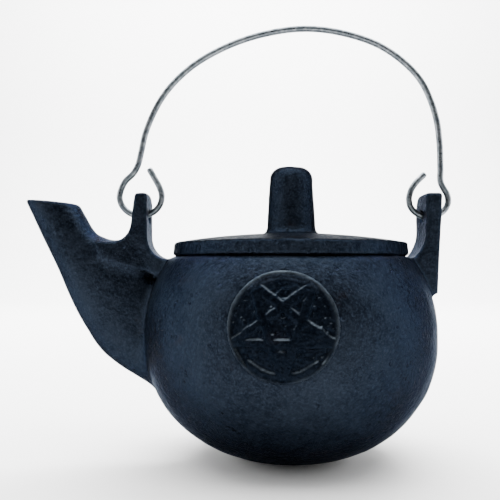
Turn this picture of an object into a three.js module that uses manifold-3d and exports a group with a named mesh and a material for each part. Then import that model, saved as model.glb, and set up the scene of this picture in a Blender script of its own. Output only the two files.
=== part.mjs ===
// Small cast-iron tea kettle, in millimetres with +Z up.
// It comes apart into three pieces: the body casting (bowl, spout, two ears and a star medallion poured in
// one), the lid casting (plate, knob and locating flange in one) and a bail bent from one length of wire.
// The origin is the centre of the flat base. The spout points along -X and the medallion faces -Y.
import * as THREE from "three";
import { mergeVertices } from "three/addons/utils/BufferGeometryUtils.js";
import Module from "manifold-3d";

const wasm = await Module();
wasm.setup();

// ---- Driving dimensions -------------------------------------------------------------------------------
// Bowl
const BELLY_R = 60.2; // outer radius at the widest point
const BELLY_Z = 49; // height of the widest point
const BASE_R = 12; // radius of the flat that it stands on
const LOWER_POWER_R = 1.8; // superellipse powers below the belly
const LOWER_POWER_Z = 2.2;
const SHOULDER_R = 51.3; // outer radius where the shoulder rounds over into the rim
const SHOULDER_Z = 80.6;
const SHOULDER_POWER = 2.45; // how late the shoulder turns in
const WALL = 4.2;
const RIM_Z = 82.6; // the flat that the lid rests on
const RIM_R = 48.6; // outer edge of that flat
const MOUTH_R = 44.5;
const BOWL_FACETS = 48;

// Spout
const SPOUT_HALF_WIDTH = 9.7;
const SPOUT_WALL = 3.7;
const SPOUT_POWER = 2.3;
const SPOUT_FACETS = 24;
const SPOUT_RINGS = 16;

// Ears, and the hinge line that runs through them
const EAR_HALF_WIDTH = 9.2;
const EAR_TOP_Z = 109;
const HINGE_Z = 99.8;
const EAR_HOLE_R = 2.5;

// Medallion
const MEDALLION_R = 19;
const MEDALLION_Z = 58.4;
const MEDALLION_TURN = THREE.MathUtils.degToRad(5.7); // it sits a little towards the spout
const RING_WIDTH = 2.6;
const STAR_R = 18;
const BAND_WIDTH = 3;
const RELIEF = 0.8;

// Lid
const LID_R = 48.8;
const LID_Z = 82.9; // underside of the plate's edge
const LID_EDGE = 5.7; // thickness of that edge
const DOME_RISE = 4;
const LID_THICKNESS = 3.9; // under the dome
const FLANGE_R = 43.3; // outside of the ring that locates the lid in the mouth
const FLANGE_WALL = 3;
const FLANGE_DEPTH = 4;
const KNOB_R = 9;
const KNOB_FOOT_R = 10.2;
const KNOB_TOP_Z = 121;
const KNOB_X = 0.6; // it was cast a little off the plate's centre
const LID_FACETS = 48;

// Bail
const WIRE_R = 1.3;
const WIRE_SIDES = 6; // of a half turn
const WIRE_STEPS = 120;

// ---- Materials ----------------------------------------------------------------------------------------
const castIron = new THREE.MeshStandardMaterial({ color: 0x22262d, roughness: 0.55, metalness: 0.4 });
const lidIron = new THREE.MeshStandardMaterial({ color: 0x20242b, roughness: 0.6, metalness: 0.4 });
const steelWire = new THREE.MeshStandardMaterial({ color: 0x9aa0a2, roughness: 0.35, metalness: 0.9 });

// ---- Solids -------------------------------------------------------------------------------------------
// A closed geometry as a manifold-3d solid, for joins and cuts.
function toSolid(geometry) {
  const bare = geometry.index ? geometry.toNonIndexed() : geometry.clone();
  bare.deleteAttribute("normal");
  bare.deleteAttribute("uv");
  const merged = mergeVertices(bare, 1e-3);
  const mesh = new wasm.Mesh({
    numProp: 3,
    vertProperties: merged.attributes.position.array,
    triVerts: new Uint32Array(merged.index.array),
  });
  return new wasm.Manifold(mesh);
}

function toGeometry(solid) {
  const { numProp, numVert, vertProperties, triVerts } = solid.getMesh();
  const positions = new Float32Array(numVert * 3);
  for (let i = 0; i < numVert; i++) {
    positions.set(vertProperties.subarray(i * numProp, i * numProp + 3), i * 3);
  }
  const geometry = new THREE.BufferGeometry();
  geometry.setAttribute("position", new THREE.BufferAttribute(positions, 3));
  geometry.setIndex(new THREE.BufferAttribute(triVerts, 1));
  geometry.computeVertexNormals();
  return geometry;
}

// A profile of (radius, height) points turned about Z.
function turned(profile, facets) {
  return new THREE.LatheGeometry(profile, facets).rotateX(Math.PI / 2);
}

// An outline drawn in X and Z, extruded along Y from -halfWidth to halfWidth.
function extrudedAlongY(outline, halfWidth, curveSegments = 8) {
  const options = { depth: 2 * halfWidth, bevelEnabled: false, curveSegments };
  return new THREE.ExtrudeGeometry(outline, options).translate(0, 0, -halfWidth).rotateX(Math.PI / 2);
}

// A skin through rings that have the same number of points, with both ends closed.
function lofted(rings) {
  const count = rings[0].length;
  const positions = rings.flat().flatMap((point) => point.toArray());
  const faces = [];
  for (let i = 0; i + 1 < rings.length; i++) {
    for (let j = 0; j < count; j++) {
      const here = i * count + j;
      const beside = i * count + ((j + 1) % count);
      faces.push(here, here + count, beside, beside, here + count, beside + count);
    }
  }
  const last = (rings.length - 1) * count;
  for (let j = 1; j + 1 < count; j++) {
    faces.push(0, j, j + 1, last, last + j + 1, last + j);
  }
  const geometry = new THREE.BufferGeometry();
  geometry.setAttribute("position", new THREE.Float32BufferAttribute(positions, 3));
  geometry.setIndex(faces);
  return geometry;
}

// ---- Bowl ---------------------------------------------------------------------------------------------
// The bowl's side from the base's edge up to the shoulder, moved outwards by offset.
function bowlSide(offset) {
  const lowerSteps = 12;
  const upperSteps = 8;
  const side = [];
  for (let i = 0; i < lowerSteps; i++) {
    const angle = (Math.PI / 2) * (1 - i / lowerSteps);
    const radius = BASE_R + (BELLY_R - BASE_R) * Math.cos(angle) ** (2 / LOWER_POWER_R);
    side.push(new THREE.Vector2(radius, BELLY_Z * (1 - Math.sin(angle) ** (2 / LOWER_POWER_Z))));
  }
  for (let i = 0; i <= upperSteps; i++) {
    const share = i / upperSteps;
    const radius = BELLY_R - (BELLY_R - SHOULDER_R) * share ** SHOULDER_POWER;
    side.push(new THREE.Vector2(radius, BELLY_Z + (SHOULDER_Z - BELLY_Z) * share));
  }
  return side.map((point, i) => {
    const before = side[Math.max(i - 1, 0)];
    const after = side[Math.min(i + 1, side.length - 1)];
    const along = i === 0 ? new THREE.Vector2(1, 0) : after.clone().sub(before).normalize();
    return new THREE.Vector2(point.x + along.y * offset, point.y - along.x * offset);
  });
}

function bowlOutside() {
  const rim = [new THREE.Vector2(50.3, RIM_Z - 0.8), new THREE.Vector2(RIM_R, RIM_Z)];
  const outline = [new THREE.Vector2(0, 0), ...bowlSide(0), ...rim, new THREE.Vector2(0, RIM_Z)];
  return turned(outline, BOWL_FACETS);
}

function bowlCavity() {
  const neckZ = 77;
  const side = bowlSide(-WALL).filter((point) => point.y < neckZ - 2);
  const mouth = [
    new THREE.Vector2(MOUTH_R + 2.6, neckZ),
    new THREE.Vector2(MOUTH_R, neckZ + 2.6),
    new THREE.Vector2(MOUTH_R, RIM_Z + 1),
    new THREE.Vector2(0, RIM_Z + 1),
  ];
  return turned([new THREE.Vector2(0, WALL), ...side, ...mouth], BOWL_FACETS);
}

// ---- Spout --------------------------------------------------------------------------------------------
// Sections from the mouth down into the bowl's wall: the lower and the upper edge, each as x and z.
const SPOUT_SECTIONS = [
  [-111.3, 106.8, -89.2, 105.0],
  [-104.8, 93.2, -86.8, 100.8],
  [-100.5, 84.7, -82.9, 94.1],
  [-96.7, 76.3, -78.0, 89.5],
  [-92.4, 66.1, -72.6, 87.2],
  [-86.9, 55.2, -65.8, 84.4],
  [-77.9, 42.2, -59.0, 78.6],
  [-60.5, 30.3, -51.4, 64.4],
  [-52.7, 26.4, -44.2, 60.2],
];

function spoutSkin(inset, mouthReach) {
  const edge = (column) =>
    new THREE.CatmullRomCurve3(
      SPOUT_SECTIONS.map((section) => new THREE.Vector3(section[column], 0, section[column + 1])),
    );
  const lower = edge(0);
  const upper = edge(2);
  const rings = [];
  for (let i = 0; i <= SPOUT_RINGS; i++) {
    const low = lower.getPoint(i / SPOUT_RINGS);
    const high = upper.getPoint(i / SPOUT_RINGS);
    const centre = low.clone().add(high).multiplyScalar(0.5);
    const across = high.clone().sub(low);
    const halfHeight = across.length() / 2 - inset;
    across.normalize();
    const ring = [];
    for (let j = 0; j < SPOUT_FACETS; j++) {
      const angle = (2 * Math.PI * j) / SPOUT_FACETS;
      const rounded = (value) => Math.sign(value) * Math.abs(value) ** (2 / SPOUT_POWER);
      const point = centre.clone().addScaledVector(across, halfHeight * rounded(Math.cos(angle)));
      point.y = (SPOUT_HALF_WIDTH - inset) * rounded(Math.sin(angle));
      ring.push(point);
    }
    rings.push(ring);
  }
  if (mouthReach > 0) {
    // carries the first ring on past the mouth, along the spout's own direction
    const out = rings[0][0].clone().sub(rings[1][0]).normalize().multiplyScalar(mouthReach);
    rings[0].forEach((point) => point.add(out));
  }
  return lofted(rings);
}

// ---- Ears ---------------------------------------------------------------------------------------------
// Front outline of the ear on the spout's side, with a web down into the spout and the rim.
function spoutEarOutline() {
  const outline = new THREE.Shape();
  outline.moveTo(-50.8, 81.4);
  outline.lineTo(-50.0, 72);
  outline.lineTo(-62, 78);
  outline.lineTo(-76, 84);
  outline.lineTo(-78.5, 88.2);
  outline.quadraticCurveTo(-67.0, 87.8, -65.8, 96);
  outline.lineTo(-64.0, EAR_TOP_Z + 1);
  outline.lineTo(-59.3, EAR_TOP_Z + 1);
  outline.lineTo(-59.3, 91.5);
  outline.quadraticCurveTo(-59.1, 83.0, -50.8, 81.4);
  return outline;
}

// Front outline of the ear on the far side, which ends in a corner low on the bowl's side.
function backEarOutline() {
  const outline = new THREE.Shape();
  outline.moveTo(50.2, 81.8);
  outline.quadraticCurveTo(54.8, 86.4, 55.1, 93);
  outline.lineTo(55.1, EAR_TOP_Z + 1);
  outline.lineTo(61.7, EAR_TOP_Z + 1);
  outline.lineTo(59.9, 67.8);
  outline.lineTo(56, 65.5);
  outline.lineTo(50, 72);
  return outline;
}

// What both ears are trimmed to from the side: a small round on the near corner and a larger one on the far
// corner.
function earTrim() {
  const nearRound = 1.2;
  const farRound = 4.5;
  const outline = new THREE.Shape();
  outline.moveTo(-EAR_HALF_WIDTH, 50);
  outline.lineTo(EAR_HALF_WIDTH, 50);
  outline.lineTo(EAR_HALF_WIDTH, EAR_TOP_Z - farRound);
  outline.absarc(EAR_HALF_WIDTH - farRound, EAR_TOP_Z - farRound, farRound, 0, Math.PI / 2);
  outline.absarc(nearRound - EAR_HALF_WIDTH, EAR_TOP_Z - nearRound, nearRound, Math.PI / 2, Math.PI);
  const reach = 2 * BELLY_R;
  const options = { depth: 2 * reach, bevelEnabled: false, curveSegments: 6 };
  const prism = new THREE.ExtrudeGeometry(outline, options);
  return prism.translate(0, 0, -reach).rotateX(Math.PI / 2).rotateZ(Math.PI / 2);
}

function earHoles() {
  return new THREE.CylinderGeometry(EAR_HOLE_R, EAR_HOLE_R, 2.4 * BELLY_R, 24)
    .rotateZ(Math.PI / 2)
    .translate(0, 0, HINGE_Z);
}

// ---- Medallion ----------------------------------------------------------------------------------------
// A ring and a five-pointed star, two points up, as prisms that run through the bowl's front wall.
function medallionPrisms() {
  const depth = 2 * BELLY_R;
  const ring = new THREE.Shape().absarc(0, 0, MEDALLION_R, 0, 2 * Math.PI);
  ring.holes.push(new THREE.Path().absarc(0, 0, MEDALLION_R - RING_WIDTH, 0, 2 * Math.PI));
  let prisms = toSolid(new THREE.ExtrudeGeometry(ring, { depth, bevelEnabled: false, curveSegments: 24 }));
  for (let i = 0; i < 5; i++) {
    const start = -Math.PI / 2 + (i * 2 * Math.PI) / 5;
    const end = start + (4 * Math.PI) / 5;
    const length = 2 * STAR_R * Math.sin((2 * Math.PI) / 5);
    const middle = new THREE.Vector2(Math.cos(start) + Math.cos(end), Math.sin(start) + Math.sin(end));
    const band = new THREE.BoxGeometry(length, BAND_WIDTH, depth)
      .rotateZ((start + end) / 2 + Math.PI / 2)
      .translate((middle.x * STAR_R) / 2, (middle.y * STAR_R) / 2, depth / 2);
    prisms = prisms.add(toSolid(band));
  }
  const outwards = new THREE.Matrix4().makeRotationX(Math.PI / 2);
  const place = new THREE.Matrix4().makeRotationZ(-MEDALLION_TURN).multiply(outwards);
  place.setPosition(0, 0, MEDALLION_Z);
  return toSolid(toGeometry(prisms).applyMatrix4(place));
}

function medallionRelief() {
  const side = bowlSide(RELIEF);
  const outline = [new THREE.Vector2(0, side[0].y), ...side, new THREE.Vector2(0, SHOULDER_Z)];
  return medallionPrisms().intersect(toSolid(turned(outline, BOWL_FACETS)));
}

function bodyCasting() {
  const trim = toSolid(earTrim());
  const ears = [spoutEarOutline(), backEarOutline()].map((outline) =>
    toSolid(extrudedAlongY(outline, EAR_HALF_WIDTH + 1)).intersect(trim),
  );
  const solid = toSolid(bowlOutside())
    .add(toSolid(spoutSkin(0, 0)))
    .add(ears[0])
    .add(ears[1])
    .add(medallionRelief())
    .subtract(toSolid(bowlCavity()))
    .subtract(toSolid(spoutSkin(SPOUT_WALL, 6)))
    .subtract(toSolid(earHoles()));
  return toGeometry(solid);
}

// ---- Lid ----------------------------------------------------------------------------------------------
function lidCasting() {
  const edgeTop = LID_Z + LID_EDGE;
  const domeR = LID_R - 1.3;
  const domeZ = (radius) => edgeTop + DOME_RISE * (1 - (radius / domeR) ** 2);
  const recessR = FLANGE_R - FLANGE_WALL;
  const recessSteps = 4;
  const recess = Array.from({ length: recessSteps + 1 }, (_, i) => {
    const radius = (recessR * i) / recessSteps;
    return new THREE.Vector2(radius, domeZ(radius) - LID_THICKNESS);
  });
  const profile = [
    ...recess,
    new THREE.Vector2(recessR + 0.6, LID_Z - FLANGE_DEPTH),
    new THREE.Vector2(FLANGE_R - 0.5, LID_Z - FLANGE_DEPTH),
    new THREE.Vector2(FLANGE_R, LID_Z),
    new THREE.Vector2(LID_R - 0.8, LID_Z),
    new THREE.Vector2(LID_R, LID_Z + 0.8),
    new THREE.Vector2(LID_R - 0.2, edgeTop - 1.3),
    new THREE.Vector2(LID_R - 1.3, edgeTop),
  ];
  const domeSteps = 6;
  for (let i = 1; i <= domeSteps; i++) {
    const radius = domeR * (1 - i / domeSteps);
    profile.push(new THREE.Vector2(radius, domeZ(radius)));
  }
  const plate = toSolid(turned(profile, LID_FACETS));
  const knob = toSolid(turned(knobProfile(domeZ(KNOB_FOOT_R)), LID_FACETS).translate(KNOB_X, 0, 0));
  return toGeometry(plate.add(knob));
}

// The knob's side from inside the plate, which it meets at footZ, up to its slightly domed top.
function knobProfile(footZ) {
  const crownR = 5.2; // round between the knob's side and its top
  const crownZ = KNOB_TOP_Z - 0.6 - crownR;
  const profile = [
    new THREE.Vector2(0, footZ - 2),
    new THREE.Vector2(KNOB_FOOT_R, footZ - 2),
    new THREE.Vector2(KNOB_FOOT_R + 1.5, footZ - 0.2),
    new THREE.Vector2(KNOB_FOOT_R + 0.4, footZ + 0.5),
    new THREE.Vector2(KNOB_FOOT_R, footZ + 1.6),
    new THREE.Vector2(KNOB_R, crownZ),
  ];
  for (let i = 1; i <= 4; i++) {
    const angle = (i * Math.PI) / 8;
    const radius = KNOB_R - crownR * (1 - Math.cos(angle));
    profile.push(new THREE.Vector2(radius, crownZ + crownR * Math.sin(angle)));
  }
  profile.push(new THREE.Vector2(0, KNOB_TOP_Z));
  return profile;
}

// ---- Bail ---------------------------------------------------------------------------------------------
// An eye's round bottom as part of an ellipse, from one angle to another, in degrees. Its lowest point is
// dropped below the hinge line by drop.
function eyeArc(x, halfWidth, halfHeight, drop, from, to) {
  const steps = 8;
  return Array.from({ length: steps + 1 }, (_, i) => {
    const angle = THREE.MathUtils.degToRad(from + ((to - from) * i) / steps);
    return [x + halfWidth * Math.cos(angle), HINGE_Z - drop + halfHeight * (1 + Math.sin(angle))];
  });
}

// The wire's centreline from the spout-side tip to the other, each point as x and z.
function bailRoute() {
  return [
    [-59.5, 120.1],
    [-57.4, 116.4],
    [-55.2, 112.4],
    ...eyeArc(-63, 8.8, 7.9, 0, 5, -185),
    [-69.6, 114.5],
    [-66.2, 117.9],
    [-64.2, 121.4],
    [-62.6, 127.9],
    [-61.1, 134.6],
    [-58.2, 142.1],
    [-54.2, 149.6],
    [-48.3, 157.0],
    [-39.0, 164.9],
    [-24.0, 172.8],
    [-8.3, 177.5],
    [6.5, 179.2],
    [21.3, 177.6],
    [37.1, 172.5],
    [48.3, 165.0],
    [55.3, 157.4],
    [59.4, 149.3],
    [62.2, 140.0],
    [63.4, 130.0],
    [63.5, 120.0],
    [63.6, 114.6],
    [64.8, 111.6],
    ...eyeArc(58.7, 8.4, 7.2, 0.7, 20, -185),
    [50.8, 109.4],
    [51.8, 111.9],
    [53.7, 114.5],
    [57.2, 117.9],
  ];
}

function bailWire() {
  const route = new THREE.CatmullRomCurve3(
    bailRoute().map(([x, z]) => new THREE.Vector3(x, 0, z)),
    false,
    "centripetal",
  );
  const section = new THREE.Shape().absarc(0, 0, WIRE_R, 0, 2 * Math.PI);
  return new THREE.ExtrudeGeometry(section, {
    extrudePath: route,
    steps: WIRE_STEPS,
    curveSegments: WIRE_SIDES,
    bevelEnabled: false,
  });
}

// ---- Assembly -----------------------------------------------------------------------------------------
const kettle = new THREE.Group();
const pieces = [
  ["body_casting", bodyCasting(), castIron],
  ["lid_casting", lidCasting(), lidIron],
  ["bail_wire", bailWire(), steelWire],
];
for (const [name, geometry, material] of pieces) {
  const mesh = new THREE.Mesh(geometry, material);
  mesh.name = name;
  kettle.add(mesh);
}

export default kettle;
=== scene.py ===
import math

import bpy
import numpy as np
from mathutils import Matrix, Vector


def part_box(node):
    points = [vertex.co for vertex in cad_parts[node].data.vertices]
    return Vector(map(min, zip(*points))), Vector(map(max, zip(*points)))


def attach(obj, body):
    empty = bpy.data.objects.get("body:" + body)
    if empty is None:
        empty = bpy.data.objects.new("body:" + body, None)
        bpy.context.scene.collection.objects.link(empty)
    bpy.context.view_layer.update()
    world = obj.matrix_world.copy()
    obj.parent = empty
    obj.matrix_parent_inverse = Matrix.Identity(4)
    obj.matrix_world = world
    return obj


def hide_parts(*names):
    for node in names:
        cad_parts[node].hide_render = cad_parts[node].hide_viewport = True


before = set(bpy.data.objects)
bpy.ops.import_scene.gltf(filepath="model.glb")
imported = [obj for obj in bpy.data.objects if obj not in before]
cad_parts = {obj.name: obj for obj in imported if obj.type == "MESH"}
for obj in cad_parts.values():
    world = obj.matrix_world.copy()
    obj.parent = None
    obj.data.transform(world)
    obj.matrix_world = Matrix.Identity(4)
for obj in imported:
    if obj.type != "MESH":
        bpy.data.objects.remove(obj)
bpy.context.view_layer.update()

# A small cast-iron tea kettle. The two castings are made as distance fields in millimetres, so that every
# join has a cast fillet and the skin has the lumps of a sand mould, and are then meshed in metres.
MM = 0.001

# ---- Driving dimensions, in millimetres ---------------------------------------------------------------
BELLY_R, BELLY_Z = 60.2, 49.0
BASE_R = 12.0
LOWER_POWER_R, LOWER_POWER_Z = 1.8, 2.2
SHOULDER_R, SHOULDER_Z = 51.3, 80.6
SHOULDER_POWER = 2.45
WALL = 4.2
RIM_Z, RIM_R = 82.6, 48.6
RIM_OUTER_R, RIM_OUTER_DROP = 50.3, 0.8
MOUTH_R = 44.5
NECK_Z, NECK_SLOPE = 77.0, 2.6

SPOUT_HALF_WIDTH = 9.7
SPOUT_WALL = 3.7
SPOUT_POWER = 2.3
SPOUT_BOX_X, SPOUT_BOX_Y = -46.0, 20.0  # where the spout's sections end, towards the bowl and to each side
# from the mouth down to the bowl: the lower and the upper edge, each as x and z
SPOUT_SECTIONS = [
    (-111.3, 106.8, -89.2, 105.0),
    (-104.8, 93.2, -86.8, 100.8),
    (-100.5, 84.7, -82.9, 94.1),
    (-96.7, 76.3, -78.0, 89.5),
    (-92.4, 66.1, -72.6, 87.2),
    (-86.9, 55.2, -65.8, 84.4),
    (-77.9, 42.2, -59.0, 78.6),
    (-60.5, 30.3, -51.4, 64.4),
    (-52.7, 26.4, -44.2, 60.2),
]

EAR_HALF_WIDTH = 9.2
EAR_TOP_Z = 109.0
HINGE_Z = 99.8
EAR_HOLE_R = 2.5
HOLE_REACH_X = 72.0  # the holes' line goes no further than this, so it leaves the spout whole
EAR_FAR_ROUND, EAR_NEAR_ROUND = 6.0, 1.2

MEDALLION_R = 19.0
MEDALLION_EDGE_R = MEDALLION_R + 0.7  # the relief dives under the bowl's skin out here
MEDALLION_Z = 58.4
MEDALLION_TURN = math.radians(5.7)
RING_WIDTH = 2.6
STAR_R = 18.0
STAR_POINTS = 5
STAR_TURN = 360 / STAR_POINTS
BAND_WIDTH = 3.0
DISH_DEPTH, DISH_EDGE, DISH_SLOPE = 1.5, 1.5, 2.0  # the hollow in the bowl's field under the medallion

LID_R, LID_Z = 48.8, 82.9
LID_EDGE = 5.7
DOME_RISE = 4.0
LID_THICKNESS = 3.9
LID_EDGE_ROUND, LID_EDGE_LEAN = 1.3, 0.2
FLANGE_R, FLANGE_WALL, FLANGE_DEPTH = 43.3, 3.0, 4.0
KNOB_R, KNOB_FOOT_R, KNOB_TOP_Z = 9.0, 10.2, 121.0
KNOB_TOP_ROUND, KNOB_CROWN = 5.2, 0.6
KNOB_X = 0.6  # it was cast a little off the plate's centre

WIRE_R = 1.3
WIRE_CHAMFER, WIRE_CHAMFER_LENGTH = 0.35, 0.5

# the fillets where two shapes of a casting run together
SPOUT_FILLET, EAR_FILLET, WEB_FILLET, KNOB_FILLET = 3.5, 1.8, 7.0, 3.0
INSIDE_FILLET, HOLE_FILLET = 2.0, 0.5
SPOUT_MOUTH_ROUND, EAR_EDGE_ROUND, EDGE_ROUND = 1.4, 1.1, 1.0

# the mesh sizes
BODY_STEP = 0.95
LID_STEP = 0.75
MEDALLION_STEP = 0.29

FAR = 1e9


# ---- Fields -------------------------------------------------------------------------------------------
def smooth_min(a, b, k):
    """The union of two fields, with a fillet of about k along the join."""
    h = np.clip(0.5 + 0.5 * (b - a) / k, 0, 1)
    return b + (a - b) * h - k * h * (1 - h)


def smooth_max(a, b, k):
    """What two fields have in common, with an edge rounded by about k."""
    return -smooth_min(-a, -b, k)


def smooth_step(low, high, value):
    """0 at low, 1 at high, with no corner at either."""
    t = np.clip((value - low) / (high - low), 0, 1)
    return t * t * (3 - 2 * t)


def polygon_distance(outline, a, b):
    """Distance from points (a, b) to a closed outline, negative inside."""
    near = np.full(a.shape, FAR)
    inside = np.zeros(a.shape, bool)
    for (x0, y0), (x1, y1) in zip(outline, np.roll(outline, -1, axis=0)):
        ex, ey = x1 - x0, y1 - y0
        wx, wy = a - x0, b - y0
        t = np.clip((wx * ex + wy * ey) / (ex * ex + ey * ey + 1e-12), 0, 1)
        near = np.minimum(near, (wx - t * ex) ** 2 + (wy - t * ey) ** 2)
        if abs(ey) > 1e-12:
            inside ^= ((y0 > b) != (y1 > b)) & (a < x0 + (b - y0) * ex / ey)
    return np.where(inside, -1, 1) * np.sqrt(near)


class Flat:
    """A field of two coordinates, worked out once on a fine grid and read between its points."""

    def __init__(self, make, low, high, step=0.25):
        self.low, self.step = low, step
        axes = [np.arange(lo, hi + step, step) for lo, hi in zip(low, high)]
        self.values = make(*np.meshgrid(*axes, indexing="ij"))

    def __call__(self, a, b):
        rows, columns = self.values.shape
        u = np.clip((a - self.low[0]) / self.step, 0, rows - 1.001)
        v = np.clip((b - self.low[1]) / self.step, 0, columns - 1.001)
        i, j = u.astype(int), v.astype(int)
        u, v = u - i, v - j
        grid = self.values
        near = grid[i, j] * (1 - v) + grid[i, j + 1] * v
        far = grid[i + 1, j] * (1 - v) + grid[i + 1, j + 1] * v
        return near * (1 - u) + far * u


LATTICE = np.random.default_rng(7).uniform(-1, 1, 1 << 14)


def lumps(x, y, z, size, seed=0):
    """Smooth noise between -1 and 1 whose lumps are about size across."""
    u, v, w = x / size + 31.7 * seed, y / size + 11.3 * seed, z / size + 5.9 * seed
    i, j, k = (np.floor(c).astype(np.int64) for c in (u, v, w))
    u, v, w = u - i, v - j, w - k
    u, v, w = (c * c * (3 - 2 * c) for c in (u, v, w))
    total = np.zeros(np.shape(x))
    for di, wi in ((0, 1 - u), (1, u)):
        for dj, wj in ((0, 1 - v), (1, v)):
            for dk, wk in ((0, 1 - w), (1, w)):
                mixed = (i + di) * 73856093 ^ (j + dj) * 19349663 ^ (k + dk) * 83492791
                total += wi * wj * wk * LATTICE[mixed & (len(LATTICE) - 1)]
    return total


def skin_lumps(x, y, z):
    """The mould's unevenness, which the body and its medallion share. The base stays flat."""
    flat_base = z > 3
    return (0.22 * lumps(x, y, z, 17) + 0.09 * lumps(x, y, z, 5.5, 1)) * flat_base


# ---- Bowl ---------------------------------------------------------------------------------------------
def bowl_side(offset, lower_steps=48, upper_steps=32):
    """The bowl's side from the base's edge to the shoulder as (radius, height), moved outwards by offset."""
    angle = math.pi / 2 * (1 - np.arange(lower_steps) / lower_steps)
    radius = BASE_R + (BELLY_R - BASE_R) * np.cos(angle) ** (2 / LOWER_POWER_R)
    height = BELLY_Z * (1 - np.sin(angle) ** (2 / LOWER_POWER_Z))
    share = np.linspace(0, 1, upper_steps + 1)
    radius = np.append(radius, BELLY_R - (BELLY_R - SHOULDER_R) * share**SHOULDER_POWER)
    height = np.append(height, BELLY_Z + (SHOULDER_Z - BELLY_Z) * share)
    slope = np.stack([np.gradient(radius), np.gradient(height)])
    slope[:, 0] = 1, 0
    slope /= np.hypot(*slope)
    return np.stack([radius + slope[1] * offset, height - slope[0] * offset], axis=1)


def bowl_outline():
    rim = [(RIM_OUTER_R, RIM_Z - RIM_OUTER_DROP), (RIM_R, RIM_Z), (0, RIM_Z)]
    return np.vstack([[(0, 0)], bowl_side(0), rim])


def cavity_outline():
    """The pot's inside, which goes on past the rim so that it leaves the mouth open."""
    side = bowl_side(-WALL)
    side = side[side[:, 1] < NECK_Z - 2]
    neck = [(MOUTH_R + NECK_SLOPE, NECK_Z), (MOUTH_R, NECK_Z + NECK_SLOPE)]
    past_rim = [(MOUTH_R, RIM_Z + 9), (0, RIM_Z + 9)]
    return np.vstack([[(0, WALL)], side, neck, past_rim])


def round_field(outline, low, high):
    """The field of an outline turned about Z. The outline is mirrored, so the axis is no edge."""
    mirrored = np.vstack([outline, outline[::-1] * (-1, 1)])
    return Flat(lambda r, z: polygon_distance(mirrored, r, z), low, high)


# ---- Spout --------------------------------------------------------------------------------------------
def catmull_rom(points, count):
    """count points on the centripetal curve through points."""
    points = np.asarray(points, float)
    ends = 2 * points[0] - points[1], 2 * points[-1] - points[-2]
    knots = np.vstack([ends[0], points, ends[1]])
    out = []
    for t in np.linspace(0, len(points) - 1, count):
        i = min(int(t), len(points) - 2)
        p = knots[i : i + 4]
        gaps = np.maximum(np.linalg.norm(np.diff(p, axis=0), axis=1) ** 0.5, 1e-4)
        m1 = (p[1] - p[0]) / gaps[0] - (p[2] - p[0]) / (gaps[0] + gaps[1]) + (p[2] - p[1]) / gaps[1]
        m2 = (p[2] - p[1]) / gaps[1] - (p[3] - p[1]) / (gaps[1] + gaps[2]) + (p[3] - p[2]) / gaps[2]
        m1, m2 = m1 * gaps[1], m2 * gaps[1]
        w = t - i
        out.append(
            (2 * w**3 - 3 * w**2 + 1) * p[1]
            + (w**3 - 2 * w**2 + w) * m1
            + (3 * w**2 - 2 * w**3) * p[2]
            + (w**3 - w**2) * m2
        )
    return np.array(out)


SPOUT_LOWER = catmull_rom([s[:2] for s in SPOUT_SECTIONS], 90)
SPOUT_UPPER = catmull_rom([s[2:] for s in SPOUT_SECTIONS], 90)


def spout_place(x, z):
    """Where a point lies in the spout's fan of sections: across, from -1 at the lower edge to 1 at the
    upper one, and half the section's height there."""
    along = SPOUT_UPPER - SPOUT_LOWER
    length = np.linalg.norm(along, axis=1)
    previous = None
    done = np.zeros(x.shape, bool)
    for low, way, size in zip(SPOUT_LOWER, along, length):
        unit = way / size
        side = (x - low[0]) * unit[1] - (z - low[1]) * unit[0]
        here = 2 * ((x - low[0]) * unit[0] + (z - low[1]) * unit[1]) / size - 1
        if previous is None:
            across, half = here, np.full(x.shape, size / 2)
        else:
            old_side, old_here, old_half = previous
            crossed = (old_side > 0) & (side <= 0) & ~done
            share = old_side / (old_side - side + 1e-12)
            across = np.where(crossed, old_here + (here - old_here) * share, across)
            half = np.where(crossed, old_half + (size / 2 - old_half) * share, half)
            done |= crossed
        previous = side, here, size / 2
    below = ~done & (previous[0] > 0)
    return np.where(below, here, across), np.where(below, size / 2, half)


def spout_tables():
    """Across and half-height over the XZ plane around the spout."""
    low, high, step = (-120, 15), (-36, 118), 0.5
    across = Flat(lambda x, z: spout_place(x, z)[0], low, high, step)
    half = Flat(lambda x, z: spout_place(x, z)[1], low, high, step)
    return across, half


def tube_distance(across, half, y, inset):
    """Distance to the spout's superellipse section, negative inside."""
    tall, wide = half - inset, SPOUT_HALF_WIDTH - inset
    u, v = np.abs(across * half / tall), np.abs(y / wide)
    size = (u**SPOUT_POWER + v**SPOUT_POWER) ** (1 / SPOUT_POWER) + 1e-6
    steep = np.hypot((u / size) ** (SPOUT_POWER - 1) / tall, (v / size) ** (SPOUT_POWER - 1) / wide)
    return (size - 1) / np.maximum(steep, 1e-3)


def mouth_plane(x, z, moved=0.0):
    """Height over the plane of the spout's mouth, moved outwards by moved."""
    low, high = SPOUT_LOWER[0], SPOUT_UPPER[0]
    way = (high - low) / np.linalg.norm(high - low)
    return (z - low[1]) * way[0] - (x - low[0]) * way[1] - moved


# ---- Ears ---------------------------------------------------------------------------------------------
def bend(start, control, end, count=12):
    """A quadratic curve's points, without its start."""
    t = np.linspace(0, 1, count + 1)[1:, None]
    start, control, end = map(np.array, (start, control, end))
    return (1 - t) ** 2 * start + 2 * t * (1 - t) * control + t**2 * end


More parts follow.
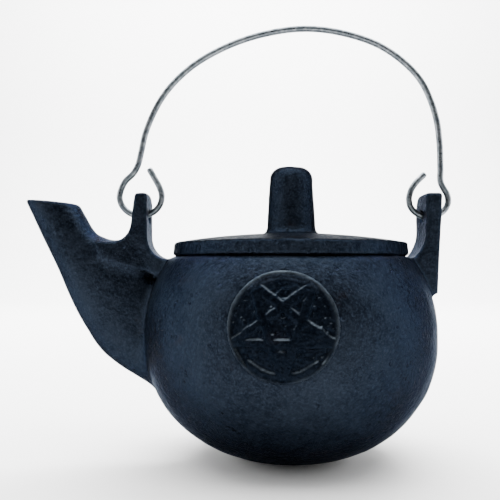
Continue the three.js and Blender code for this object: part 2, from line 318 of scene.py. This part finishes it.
def spout_ear_outline():
    """The ear behind the spout from the front, with the web that runs out along the spout."""
    return np.vstack(
        [
            [(-50.8, 81.4), (-50.0, 72), (-62, 78), (-76, 84), (-78.5, 88.2)],
            bend((-78.5, 88.2), (-67.0, 87.8), (-65.8, 96)),
            [(-64.0, EAR_TOP_Z + 1), (-59.3, EAR_TOP_Z + 1), (-59.3, 91.5)],
            bend((-59.3, 91.5), (-59.1, 83.0), (-50.8, 81.4)),
        ]
    )


def back_ear_outline():
    """The ear on the other side from the front."""
    return np.vstack(
        [
            [(50.2, 81.8)],
            bend((50.2, 81.8), (55.2, 86.4), (55.6, 93)),
            [(55.6, EAR_TOP_Z + 1), (62.2, EAR_TOP_Z + 1), (60.3, 67.8), (56, 65.5), (50, 72)],
        ]
    )


def arc(centre, radius, start, end, count=10):
    angle = np.radians(np.linspace(start, end, count))
    return np.stack([centre[0] + radius * np.cos(angle), centre[1] + radius * np.sin(angle)], axis=1)


def ear_side_outline():
    """Both ears from the side, as y and z: the far corner is rounded, the near one nearly square."""
    far, near = EAR_FAR_ROUND, EAR_NEAR_ROUND
    return np.vstack(
        [
            [(-EAR_HALF_WIDTH, 50), (EAR_HALF_WIDTH, 50)],
            arc((EAR_HALF_WIDTH - far, EAR_TOP_Z - far), far, 0, 90),
            arc((near - EAR_HALF_WIDTH, EAR_TOP_Z - near), near, 90, 180),
        ]
    )


# ---- Medallion ----------------------------------------------------------------------------------------
def medallion_place(x, y, z):
    """Where a point lies on the medallion: to the right and up from its centre, seen from the front."""
    cos, sin = math.cos(MEDALLION_TURN), math.sin(MEDALLION_TURN)
    return x * cos - y * sin, z - MEDALLION_Z


# ---- Body casting -------------------------------------------------------------------------------------
BOWL = round_field(bowl_outline(), (0, -6), (125, 116))
CAVITY = round_field(cavity_outline(), (0, -6), (125, 116))
ACROSS, HALF = spout_tables()
EARS_FRONT = Flat(
    lambda x, z: np.minimum(
        polygon_distance(spout_ear_outline(), x, z), polygon_distance(back_ear_outline(), x, z)
    ),
    (-120, -6),
    (70, 116),
)
EARS_SIDE = Flat(lambda y, z: polygon_distance(ear_side_outline(), y, z), (-66, -6), (66, 116))


def spout_fields(x, y, z):
    """The spout and its bore, which comes out past the mouth. The sections mean nothing outside their box."""
    across, half = ACROSS(x, z), HALF(x, z)
    past_box = np.maximum(x - SPOUT_BOX_X, np.abs(y) - SPOUT_BOX_Y)
    spout = smooth_max(tube_distance(across, half, y, 0), mouth_plane(x, z), SPOUT_MOUTH_ROUND)
    bore = np.maximum(tube_distance(across, half, y, SPOUT_WALL), mouth_plane(x, z, moved=4))
    return [np.where(past_box > 0, np.maximum(field, past_box), field) for field in (spout, bore)]


def medallion_dish(x, y, z):
    """How far the bowl's skin is set back behind the medallion."""
    right, up = medallion_place(x, y, z)
    past_edge = np.hypot(right, up) - MEDALLION_R + DISH_EDGE
    on_front = y < -20
    return np.clip(DISH_DEPTH - DISH_SLOPE * past_edge, 0, DISH_DEPTH) * on_front


def body_field(x, y, z):
    around = np.hypot(x, y)
    spout, bore = spout_fields(x, y, z)
    ears = smooth_max(EARS_FRONT(x, z), EARS_SIDE(y, z), EAR_EDGE_ROUND)
    outside = smooth_min(BOWL(around, z) + medallion_dish(x, y, z), spout, SPOUT_FILLET)
    # the web under the spout's ear runs into the spout with a wide fillet
    web = smooth_step(-56, -65, x) * smooth_step(99, 91, z)
    outside = smooth_min(outside, ears, EAR_FILLET + (WEB_FILLET - EAR_FILLET) * web)
    outside += skin_lumps(x, y, z)
    inside = smooth_min(CAVITY(around, z), bore, INSIDE_FILLET)
    holes = np.hypot(y, z - HINGE_Z) - EAR_HOLE_R + (np.abs(x) > HOLE_REACH_X) * 50
    inside = smooth_min(inside, holes, HOLE_FILLET)
    return smooth_max(outside, -inside, EDGE_ROUND)


# ---- Lid casting --------------------------------------------------------------------------------------
def lid_outlines():
    """The plate with its flange, and the knob."""
    edge_top = LID_Z + LID_EDGE
    round_r = LID_EDGE_ROUND
    dome_r = LID_R - round_r
    recess_r = FLANGE_R - FLANGE_WALL

    def dome(radius):
        return edge_top + DOME_RISE * (1 - (radius / dome_r) ** 2)

    recess = np.linspace(0, recess_r, 16)
    top = np.linspace(dome_r, 0, 24)
    plate = np.vstack(
        [
            np.stack([recess, dome(recess) - LID_THICKNESS], axis=1),
            [(recess_r + 0.6, LID_Z - FLANGE_DEPTH), (FLANGE_R - 0.5, LID_Z - FLANGE_DEPTH)],
            [(FLANGE_R, LID_Z), (LID_R - 0.8, LID_Z), (LID_R, LID_Z + 0.8)],
            arc((LID_R - LID_EDGE_LEAN - round_r, edge_top - round_r), round_r, 0, 90),
            np.stack([top, dome(top)], axis=1),
        ]
    )
    foot_z = dome(KNOB_FOOT_R)
    top_z = KNOB_TOP_Z - KNOB_CROWN
    knob = np.vstack(
        [
            [(0, foot_z - 2), (KNOB_FOOT_R, foot_z - 2), (KNOB_FOOT_R, foot_z + 1.6)],
            arc((KNOB_R - KNOB_TOP_ROUND, top_z - KNOB_TOP_ROUND), KNOB_TOP_ROUND, 0, 80),
            [(0, KNOB_TOP_Z)],
        ]
    )
    return plate, knob


PLATE, KNOB = (round_field(outline, (0, 74), (56, 124)) for outline in lid_outlines())


def lid_field(x, y, z):
    around = np.hypot(x, y)
    skin = smooth_min(PLATE(around, z), KNOB(np.hypot(x - KNOB_X, y), z), KNOB_FILLET)
    # the edge and the knob are rougher than the dome, and the seat under the plate is smooth
    edge = np.clip(1 - np.abs(around - LID_R) / 4, 0, 1) * np.clip((z - LID_Z) / 1.5, 0, 1)
    knob = np.clip((z - 95) / 4, 0, 1)
    skin += 0.12 * lumps(x, y, z, 12, 2) * (z > LID_Z + 0.5)
    skin += (0.16 * edge + 0.10 * knob) * lumps(x, y, z, 2.6, 3)
    return skin


# ---- Meshing ------------------------------------------------------------------------------------------
def surface_net(field, low, high, step):
    """Quads over the field's zero surface: (points, faces), one point in each cell that it crosses."""
    axes = [np.arange(lo, hi + step, step) for lo, hi in zip(low, high)]
    value = field(*np.meshgrid(*axes, indexing="ij"))
    shape = tuple(n - 1 for n in value.shape)
    total = np.zeros(shape + (3,))
    count = np.zeros(shape)
    edges = []
    for axis in range(3):
        a = np.take(value, range(value.shape[axis] - 1), axis)
        b = np.take(value, range(1, value.shape[axis]), axis)
        at = np.argwhere((a < 0) != (b < 0))
        others = [n for n in range(3) if n != axis]
        at = at[(at[:, others] > 0).all(1) & (at[:, others] < np.array(shape)[others]).all(1)]
        va, vb = a[tuple(at.T)], b[tuple(at.T)]
        crossing = at.astype(float)
        crossing[:, axis] += va / (va - vb)
        for du in (0, 1):
            for dv in (0, 1):
                cell = at.copy()
                cell[:, others[0]] -= du
                cell[:, others[1]] -= dv
                where = tuple(cell.T)
                for n in range(3):
                    np.add.at(total[..., n], where, crossing[:, n])
                np.add.at(count, where, 1)
        edges.append((axis, others, at))
    number = np.full(shape, -1)
    used = count > 0
    number[used] = np.arange(used.sum())
    points = total[used] / count[used][:, None] * step + np.array(low)
    faces = []
    for axis, others, at in edges:
        corners = []
        for du, dv in ((0, 0), (1, 0), (1, 1), (0, 1)):
            cell = at.copy()
            cell[:, others[0]] -= du
            cell[:, others[1]] -= dv
            corners.append(number[tuple(cell.T)])
        quad = np.stack(corners, axis=1)
        turned = (value[tuple(at.T)] < 0) ^ (axis == 1)
        quad[turned] = quad[turned][:, ::-1]
        faces.append(quad[(quad >= 0).all(1)])
    return points, np.vstack(faces)


def settle(field, points, rounds=2, reach=0.05):
    """Moves points along the field's slope onto its zero surface."""
    least_slope, longest_move = 0.5, 0.6
    for _ in range(rounds):
        slope = np.empty(points.shape)
        for n in range(3):
            step = np.zeros(3)
            step[n] = reach
            slope[:, n] = (field(*(points + step).T) - field(*(points - step).T)) / (2 * reach)
        value = field(*points.T)
        size = np.maximum((slope**2).sum(1), least_slope**2)
        points = points - np.clip(value / size, -longest_move, longest_move)[:, None] * slope
    return points


def new_mesh(name, points, faces, body):
    """A smooth-shaded piece from points in millimetres, which rides a body of the frame."""
    mesh = bpy.data.meshes.new(name)
    mesh.from_pydata((np.asarray(points) * MM).tolist(), [], [tuple(face) for face in faces])
    mesh.update()
    mesh.shade_smooth()
    piece = bpy.data.objects.new(name, mesh)
    bpy.context.scene.collection.objects.link(piece)
    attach(piece, body)
    return piece


def cast_piece(name, node, body, field, step):
    """A casting meshed from its field, inside the box of the node that it replaces."""
    low, high = (np.array(corner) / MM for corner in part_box(node))
    points, faces = surface_net(field, low - 2 * step, high + 2 * step, step)
    piece = new_mesh(name, settle(field, points), faces, body)
    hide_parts(node)
    return piece


def flat_lumps(right, up, size, seed):
    return lumps(right, up, 0 * up, size, seed)


def blob(right, up, x, y, radius):
    """A round lump about (x, y)."""
    return smooth_step(radius, 0.4 * radius, np.hypot(right - x, up - y))


def star_bands(right, up):
    """Distance to the five straight bands of the star, negative on them. One point is at the bottom."""
    band = np.full(right.shape, FAR)
    off = STAR_R * math.cos(math.radians(STAR_TURN))
    for n in range(STAR_POINTS):
        normal = math.radians(n * STAR_TURN + STAR_TURN - 90)
        sideways = np.abs(right * math.cos(normal) + up * math.sin(normal) - off)
        band = smooth_min(band, sideways - BAND_WIDTH / 2, 0.8)
    return band


def medallion_height(right, up):
    """Height of the medallion's relief over the bowl."""
    around = np.hypot(right, up)
    band = star_bands(right, up) + 0.30 * flat_lumps(right, up, 2.2, 4)
    # the ring is only well filled at the top and the bottom
    filled = smooth_step(0.50, 0.80, np.abs(up) / np.maximum(around, 1))
    wide = RING_WIDTH + 0.8 * smooth_step(-8, -14, up)
    ring = MEDALLION_R - wide - around + 0.20 * flat_lumps(right, up, 2.0, 12)
    soft = 0.65
    raised = np.maximum(smooth_step(soft, -soft, band), filled * smooth_step(soft, -soft, ring))
    # two cells of the star are run together with their bands
    raised = np.maximum(raised, blob(right, up, 8.9, -3.0, 5.0))
    raised = np.maximum(raised, blob(right, up, -0.3, -10.8, 4.0))
    # the lip goes all the way round, also where the ring is badly filled
    raised = np.maximum(raised, smooth_step(1.2, 0.4, np.abs(around - MEDALLION_R + 0.4)))
    lip = 0.22 * np.exp(-(((around - MEDALLION_R + 0.45) / 0.5) ** 2))
    pitted = 0.20 * flat_lumps(right, up, 1.5, 5) + 0.10 * flat_lumps(right, up, 0.8, 6)
    grains = 0.38 * smooth_step(0.25, 0.65, flat_lumps(right, up, 0.95, 13))
    ground, relief = -0.75, 0.95
    height = ground + relief * raised + lip + (pitted + grains) * (1 - 0.75 * raised)
    height += 0.06 * flat_lumps(right, up, 1.2, 8)
    under_skin = -0.8
    return height + (under_skin - height) * smooth_step(MEDALLION_R - 0.1, MEDALLION_EDGE_R, around)


def medallion_layers(right, up, relief):
    """Painted highlight on upward ridges and the lip, and darkening elsewhere: how much of each, by point."""
    around = np.hypot(right, up)
    rise = np.gradient(relief, MEDALLION_STEP, axis=1)
    # painted highlight: slopes that face up, and the lip more towards the top, are made bright as if lit from
    # above
    ridge = smooth_step(0.40, 1.0, -rise) * smooth_step(MEDALLION_R, MEDALLION_R - 0.6, around)
    lip = np.exp(-(((around - MEDALLION_R + 0.5) / 0.45) ** 2)) * (0.65 + 0.35 * up / MEDALLION_R)
    patchy = 0.72 + 0.02 * up + 0.55 * flat_lumps(right, up, 2.2, 14)
    painted_highlight = np.clip((ridge + 0.6 * lip) * patchy, 0, 1)
    # the darkening inside the medallion's edge stops short of the ring at its top
    spared_top = 2.4 * smooth_step(0.60, 0.85, up / np.maximum(around, 1))
    darkened = smooth_step(MEDALLION_R + 0.2, MEDALLION_R - 1.0, around + spared_top)
    return {"painted_highlight": painted_highlight, "darkened": darkened}


def medallion_piece():
    """The medallion as a square grid of points laid on the bowl's side, kept inside its edge."""
    reach = MEDALLION_EDGE_R
    count = int(2 * reach / MEDALLION_STEP) + 1
    side = np.linspace(-reach, reach, count)
    right, up = np.meshgrid(side, side, indexing="ij")
    keep = np.hypot(right, up) < reach
    relief = medallion_height(right, up)
    z = MEDALLION_Z + up
    profile = bowl_side(0)
    radius = np.interp(z, profile[:, 1], profile[:, 0])
    above, below = (np.interp(z + part, profile[:, 1], profile[:, 0]) for part in (0.5, -0.5))
    out = np.stack([right / radius, -np.sqrt(1 - (right / radius) ** 2), below - above], axis=-1)
    place = np.stack([right, out[..., 1] * radius, z], axis=-1)
    out /= np.linalg.norm(out, axis=-1, keepdims=True)
    cos, sin = math.cos(MEDALLION_TURN), math.sin(MEDALLION_TURN)
    turn = np.array([[cos, sin, 0], [-sin, cos, 0], [0, 0, 1]])
    place, out = place @ turn.T, out @ turn.T
    height = relief - skin_lumps(*np.moveaxis(place, -1, 0))
    place = (place + out * height[..., None]).reshape(-1, 3)
    number = np.arange(count * count).reshape(count, count)
    quads = np.stack([number[:-1, :-1], number[1:, :-1], number[1:, 1:], number[:-1, 1:]], axis=-1)
    quads = quads.reshape(-1, 4)
    quads = quads[keep.reshape(-1)[quads].all(1)]
    used = np.unique(quads)
    renumber = np.full(count * count, -1)
    renumber[used] = np.arange(len(used))
    piece = new_mesh("kettle_medallion", place[used], renumber[quads], "kettle")
    for label, value in medallion_layers(right, up, relief).items():
        layer = piece.data.attributes.new(label, "FLOAT", "POINT")
        layer.data.foreach_set("value", value.reshape(-1)[used].astype(np.float32))
    return piece


# ---- Bail ---------------------------------------------------------------------------------------------
def eye_arc(x, half_width, half_height, drop, start, end, steps=8):
    """The round bottom of an eye, part of an ellipse. Its lowest point is drop below the hinge line."""
    angle = np.radians(np.linspace(start, end, steps + 1))
    height = HINGE_Z - drop + half_height * (1 + np.sin(angle))
    return list(zip(x + half_width * np.cos(angle), height))


def bail_route():
    """The wire's centreline from the spout-side tip to the other, as x and z."""
    return [
        (-59.5, 120.1),
        (-57.4, 116.4),
        (-55.2, 112.4),
        *eye_arc(x=-63.0, half_width=8.9, half_height=8.0, drop=-0.3, start=5, end=-185),
        (-69.6, 114.5),
        (-66.2, 117.9),
        (-64.2, 121.4),
        (-62.6, 127.9),
        (-61.1, 134.6),
        (-58.2, 142.1),
        (-54.2, 149.6),
        (-48.3, 157.0),
        (-39.0, 164.9),
        (-24.0, 172.8),
        (-8.3, 177.5),
        (6.5, 179.2),
        (21.3, 177.6),
        (37.1, 172.5),
        (48.3, 165.0),
        (55.3, 157.4),
        (59.4, 149.3),
        (62.2, 140.0),
        (63.4, 130.0),
        (63.7, 120.0),
        (63.8, 114.4),
        (65.2, 111.4),
        *eye_arc(x=58.7, half_width=8.3, half_height=7.0, drop=0.1, start=20, end=-185),
        (50.8, 109.4),
        (51.8, 111.9),
        (53.7, 114.5),
        (57.2, 117.9),
    ]


def bail_piece():
    """The wire, swept round its centreline and closed at both ends."""
    sides, rings = 18, 620
    line = catmull_rom(bail_route(), rings)
    ahead = np.gradient(line, axis=0)
    ahead /= np.linalg.norm(ahead, axis=1, keepdims=True)
    across = np.stack([-ahead[:, 1], ahead[:, 0]], axis=1)
    run = np.append(0, np.cumsum(np.linalg.norm(np.diff(line, axis=0), axis=1)))
    # the cut ends are dressed with a small chamfer
    from_end = np.minimum(run, run[-1] - run)
    thick = WIRE_R - WIRE_CHAMFER * np.clip(1 - from_end / WIRE_CHAMFER_LENGTH, 0, 1)
    turn = np.linspace(0, 2 * math.pi, sides, endpoint=False)
    points = []
    for n in range(rings):
        dent = 1 + 0.012 * lumps(np.full(sides, run[n]), 3 * np.cos(turn), 3 * np.sin(turn), 3.5, 9)
        u = thick[n] * dent * np.cos(turn)
        v = thick[n] * dent * np.sin(turn)
        x = line[n, 0] + across[n, 0] * u
        z = line[n, 1] + across[n, 1] * u
        points.append(np.stack([x, v, z], axis=1))
    points = np.vstack(points + [[(line[0, 0], 0, line[0, 1])], [(line[-1, 0], 0, line[-1, 1])]])
    faces = []
    for n in range(rings - 1):
        for m in range(sides):
            a, b = n * sides + m, n * sides + (m + 1) % sides
            faces.append((a, a + sides, b + sides, b))
    first, last = rings * sides, rings * sides + 1
    for m in range(sides):
        b = (m + 1) % sides
        faces.append((m, b, first))
        faces.append(((rings - 1) * sides + b, (rings - 1) * sides + m, last))
    piece = new_mesh("kettle_bail", points, faces, "bail")
    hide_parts("bail_wire")
    return piece


# ---- Materials ----------------------------------------------------------------------------------------
class Nodes:
    """A material's nodes, in the object's own metres."""

    def __init__(self, name):
        self.material = bpy.data.materials.new(name)
        self.material.use_nodes = True
        self.tree = self.material.node_tree
        self.shader = self.tree.nodes["Principled BSDF"]
        self.place = self.tree.nodes.new("ShaderNodeTexCoord").outputs["Object"]

    def add(self, kind, **values):
        node = self.tree.nodes.new(kind)
        for key, value in values.items():
            self.put(node.inputs[key.replace("_", " ")], value)
        return node

    def put(self, socket, value):
        """Links a socket to another one, or sets its value."""
        if isinstance(value, bpy.types.NodeSocket):
            self.tree.links.new(value, socket)
        else:
            socket.default_value = value

    def layer(self, label):
        """A value stored on the mesh's points, 0 where the mesh has none."""
        node = self.tree.nodes.new("ShaderNodeAttribute")
        node.attribute_name = label
        return node.outputs["Fac"]

    def noise(self, size, detail=4.0, roughness=0.55):
        """Noise from 0 to 1 with lumps of about size millimetres."""
        node = self.add("ShaderNodeTexNoise", Vector=self.place, Scale=1 / (size * MM), Detail=detail)
        node.inputs["Roughness"].default_value = roughness
        return node.outputs["Fac"]

    def spots(self, size, low, high):
        """Round spots in cells of about size millimetres: 1 in their middles, 0 around them."""
        node = self.add("ShaderNodeTexVoronoi", Vector=self.place, Scale=1 / (size * MM))
        return self.ramp(node.outputs["Distance"], low, high, 1.0, 0.0)

    def ramp(self, value, low, high, start=0.0, end=1.0):
        """A value taken smoothly from low..high to start..end."""
        node = self.tree.nodes.new("ShaderNodeMapRange")
        node.interpolation_type = "SMOOTHSTEP"
        for socket, number in zip(node.inputs, (value, low, high, start, end)):
            self.put(socket, number)
        return node.outputs["Result"]

    def calculate(self, operation, a, b):
        node = self.tree.nodes.new("ShaderNodeMath")
        node.operation = operation
        self.put(node.inputs[0], a)
        self.put(node.inputs[1], b)
        return node.outputs[0]

    def blend(self, share, a, b):
        """Colour a where share is 0 and colour b where it is 1."""
        node = self.tree.nodes.new("ShaderNodeMix")
        node.data_type = "RGBA"
        self.put(node.inputs["Factor"], share)
        self.put(node.inputs[6], (*a, 1) if isinstance(a, tuple) else a)
        self.put(node.inputs[7], (*b, 1) if isinstance(b, tuple) else b)
        return node.outputs[2]

    def bump(self, height, depth, over=None):
        """Relief of depth millimetres from a height between 0 and 1."""
        node = self.add("ShaderNodeBump", Height=height, Distance=depth * MM, Strength=1.0)
        if over is not None:
            self.put(node.inputs["Normal"], over)
        return node.outputs["Normal"]


# the iron's colours
IRON_DARK, IRON_LIGHT = (0.0034, 0.0051, 0.0086), (0.0080, 0.0108, 0.0164)
IRON_PALE = (0.0115, 0.0158, 0.0236)
RUST = (0.020, 0.0140, 0.0135)
# painted glints on the sand grain
PAINTED_GLINT = (0.0190, 0.0255, 0.0370)
# the darkest tone, laid over the medallion inside its edge
IRON_DARKEST = (0.0006, 0.0016, 0.0036)
# painted highlight for the medallion's upward ridges and lip
PAINTED_HIGHLIGHT = (0.056, 0.069, 0.082)
IRON_EDGE_TINT = (0.22, 0.27, 0.34)
# the wire's colours
ZINC_DARK, ZINC_LIGHT = (0.085, 0.098, 0.11), (0.185, 0.20, 0.215)
ZINC_EDGE_TINT = (0.45, 0.5, 0.53)


def iron_colour(n, broad, mottle):
    colour = n.blend(n.ramp(mottle, 0.35, 0.7), IRON_DARK, IRON_LIGHT)
    colour = n.blend(n.calculate("MULTIPLY", n.ramp(broad, 0.42, 0.68), 0.55), colour, IRON_PALE)
    rust = n.ramp(n.noise(15, 5, 0.6), 0.60, 0.74)
    colour = n.blend(n.calculate("MULTIPLY", rust, 0.30), colour, RUST)
    # painted glints: small bright specks standing in for light catching the grain
    painted_glints = n.ramp(n.noise(0.9, 3, 0.7), 0.40, 0.75, 0.0, 0.6)
    colour = n.blend(painted_glints, colour, PAINTED_GLINT)
    # the medallion is darkened inside its edge, apart from the top of the ring
    colour = n.blend(n.calculate("MULTIPLY", n.layer("darkened"), 0.66), colour, IRON_DARKEST)
    # painted highlight on the medallion's upward ridges and lip
    return n.blend(n.layer("painted_highlight"), colour, PAINTED_HIGHLIGHT)


def iron_relief(n, grain):
    """Sand grain, with pits and small raised beads here and there."""
    patches = n.noise(9, 2)
    pit = n.calculate("MULTIPLY", n.spots(3.4, 0.08, 0.27), n.ramp(patches, 0.52, 0.62))
    bead = n.calculate("MULTIPLY", n.spots(1.5, 0.06, 0.22), n.ramp(patches, 0.5, 0.58))
    relief = n.bump(n.noise(1.8, 3), 0.42 * grain)
    relief = n.bump(n.noise(0.55, 6, 0.65), 0.11 * grain, relief)
    relief = n.bump(bead, 0.14 * grain, relief)
    return n.bump(n.calculate("SUBTRACT", 1.0, pit), 0.45 * grain, relief)


def cast_iron(name, grain=1.0, sheen=1.0):
    """Satin black iron. grain deepens its relief, and sheen lights its grazing edges."""
    n = Nodes(name)
    broad, mottle = n.noise(26, 3), n.noise(2.6, 5)
    uneven = n.calculate("MULTIPLY", mottle, 0.6), n.calculate("MULTIPLY", broad, 0.4)
    rough = n.ramp(n.calculate("ADD", *uneven), 0.35, 0.65, 0.38, 0.52)
    n.put(n.shader.inputs["Base Color"], iron_colour(n, broad, mottle))
    n.put(n.shader.inputs["Roughness"], rough)
    n.put(n.shader.inputs["Normal"], iron_relief(n, grain))
    n.shader.inputs["Specular IOR Level"].default_value = 0.17
    n.shader.inputs["Specular Tint"].default_value = (*(part * sheen for part in IRON_EDGE_TINT), 1)
    n.shader.inputs["Metallic"].default_value = 1 - 0.07 * sheen
    return n.material


def galvanised_wire(name):
    """Dull zinc on steel."""
    n = Nodes(name)
    colour = n.blend(n.ramp(n.noise(2.0, 4), 0.35, 0.7), ZINC_DARK, ZINC_LIGHT)
    n.put(n.shader.inputs["Base Color"], colour)
    n.put(n.shader.inputs["Roughness"], n.ramp(n.noise(0.8, 4), 0.3, 0.7, 0.26, 0.44))
    n.put(n.shader.inputs["Normal"], n.bump(n.noise(0.5, 4), 0.012))
    n.shader.inputs["Metallic"].default_value = 1.0
    n.shader.inputs["Specular Tint"].default_value = (*ZINC_EDGE_TINT, 1)
    return n.material


# ---- The pieces ---------------------------------------------------------------------------------------
body = cast_piece("kettle_body", "body_casting", "kettle", body_field, BODY_STEP)
lid = cast_piece("kettle_lid", "lid_casting", "lid", lid_field, LID_STEP)
medallion = medallion_piece()
bail = bail_piece()
body_iron = cast_iron("body_iron")
body.data.materials.append(body_iron)
medallion.data.materials.append(body_iron)
lid.data.materials.append(cast_iron("lid_iron", grain=1.4, sheen=0.35))
bail.data.materials.append(galvanised_wire("bail_steel"))


# ---- Camera, floor and light --------------------------------------------------------------------------
def add_camera():
    """A level camera in front of the kettle, just below its middle."""
    data = bpy.data.cameras.new("camera")
    data.sensor_width = 36
    data.lens = 47.5
    data.shift_y = 0.032
    camera = bpy.data.objects.new("camera", data)
    camera.location = (-0.0168, -0.279, 0.0789)
    camera.rotation_euler = (math.pi / 2, 0, 0)
    bpy.context.scene.collection.objects.link(camera)
    bpy.context.scene.camera = camera


def add_light(name, place, aim, size, power):
    """A rectangular light of power watts."""
    data = bpy.data.lights.new(name, "AREA")
    data.shape = "RECTANGLE"
    data.size, data.size_y = size
    data.energy = power
    light = bpy.data.objects.new(name, data)
    light.location = place
    light.rotation_euler = (Vector(aim) - Vector(place)).to_track_quat("-Z", "Y").to_euler()
    bpy.context.scene.collection.objects.link(light)


def floor_piece():
    """A plain pale floor that curves up into a backdrop."""
    front, deep, wide, bend_r, top = -2.2, 1.1, 2.6, 0.5, 2.6
    line = [(front, 0.0), (deep, 0.0)]
    for angle in np.linspace(0.1, math.pi / 2, 12):
        line.append((deep + bend_r * math.sin(angle), bend_r * (1 - math.cos(angle))))
    line.append((deep + bend_r, top))
    mesh = bpy.data.meshes.new("floor")
    points = [(x, y, z) for y, z in line for x in (-wide, wide)]
    faces = [(2 * i, 2 * i + 1, 2 * i + 3, 2 * i + 2) for i in range(len(line) - 1)]
    mesh.from_pydata(points, [], faces)
    mesh.shade_smooth()
    floor = bpy.data.objects.new("floor", mesh)
    bpy.context.scene.collection.objects.link(floor)
    material = bpy.data.materials.new("floor")
    material.use_nodes = True
    shader = material.node_tree.nodes["Principled BSDF"]
    shader.inputs["Base Color"].default_value = (0.72, 0.72, 0.72, 1)
    shader.inputs["Roughness"].default_value = 0.9
    mesh.materials.append(material)


add_camera()
floor_piece()
add_light("top", (0.0, 0.05, 0.8), (0, 0, 0.05), (1.5, 1.0), 40)
add_light("left", (-0.8, -0.05, 0.3), (0, 0, 0.07), (0.6, 0.5), 6.5)
add_light("right", (0.8, 0.0, 0.3), (0, 0, 0.07), (0.6, 0.5), 7.5)
add_light("behind", (0.0, 0.7, 1.2), (0, 1.3, 0.3), (1.6, 0.6), 190)
world = bpy.data.worlds.new("studio")
world.use_nodes = True
world.node_tree.nodes["Background"].inputs["Color"].default_value = (1, 1, 1, 1)
world.node_tree.nodes["Background"].inputs["Strength"].default_value = 0.22
bpy.context.scene.world = world
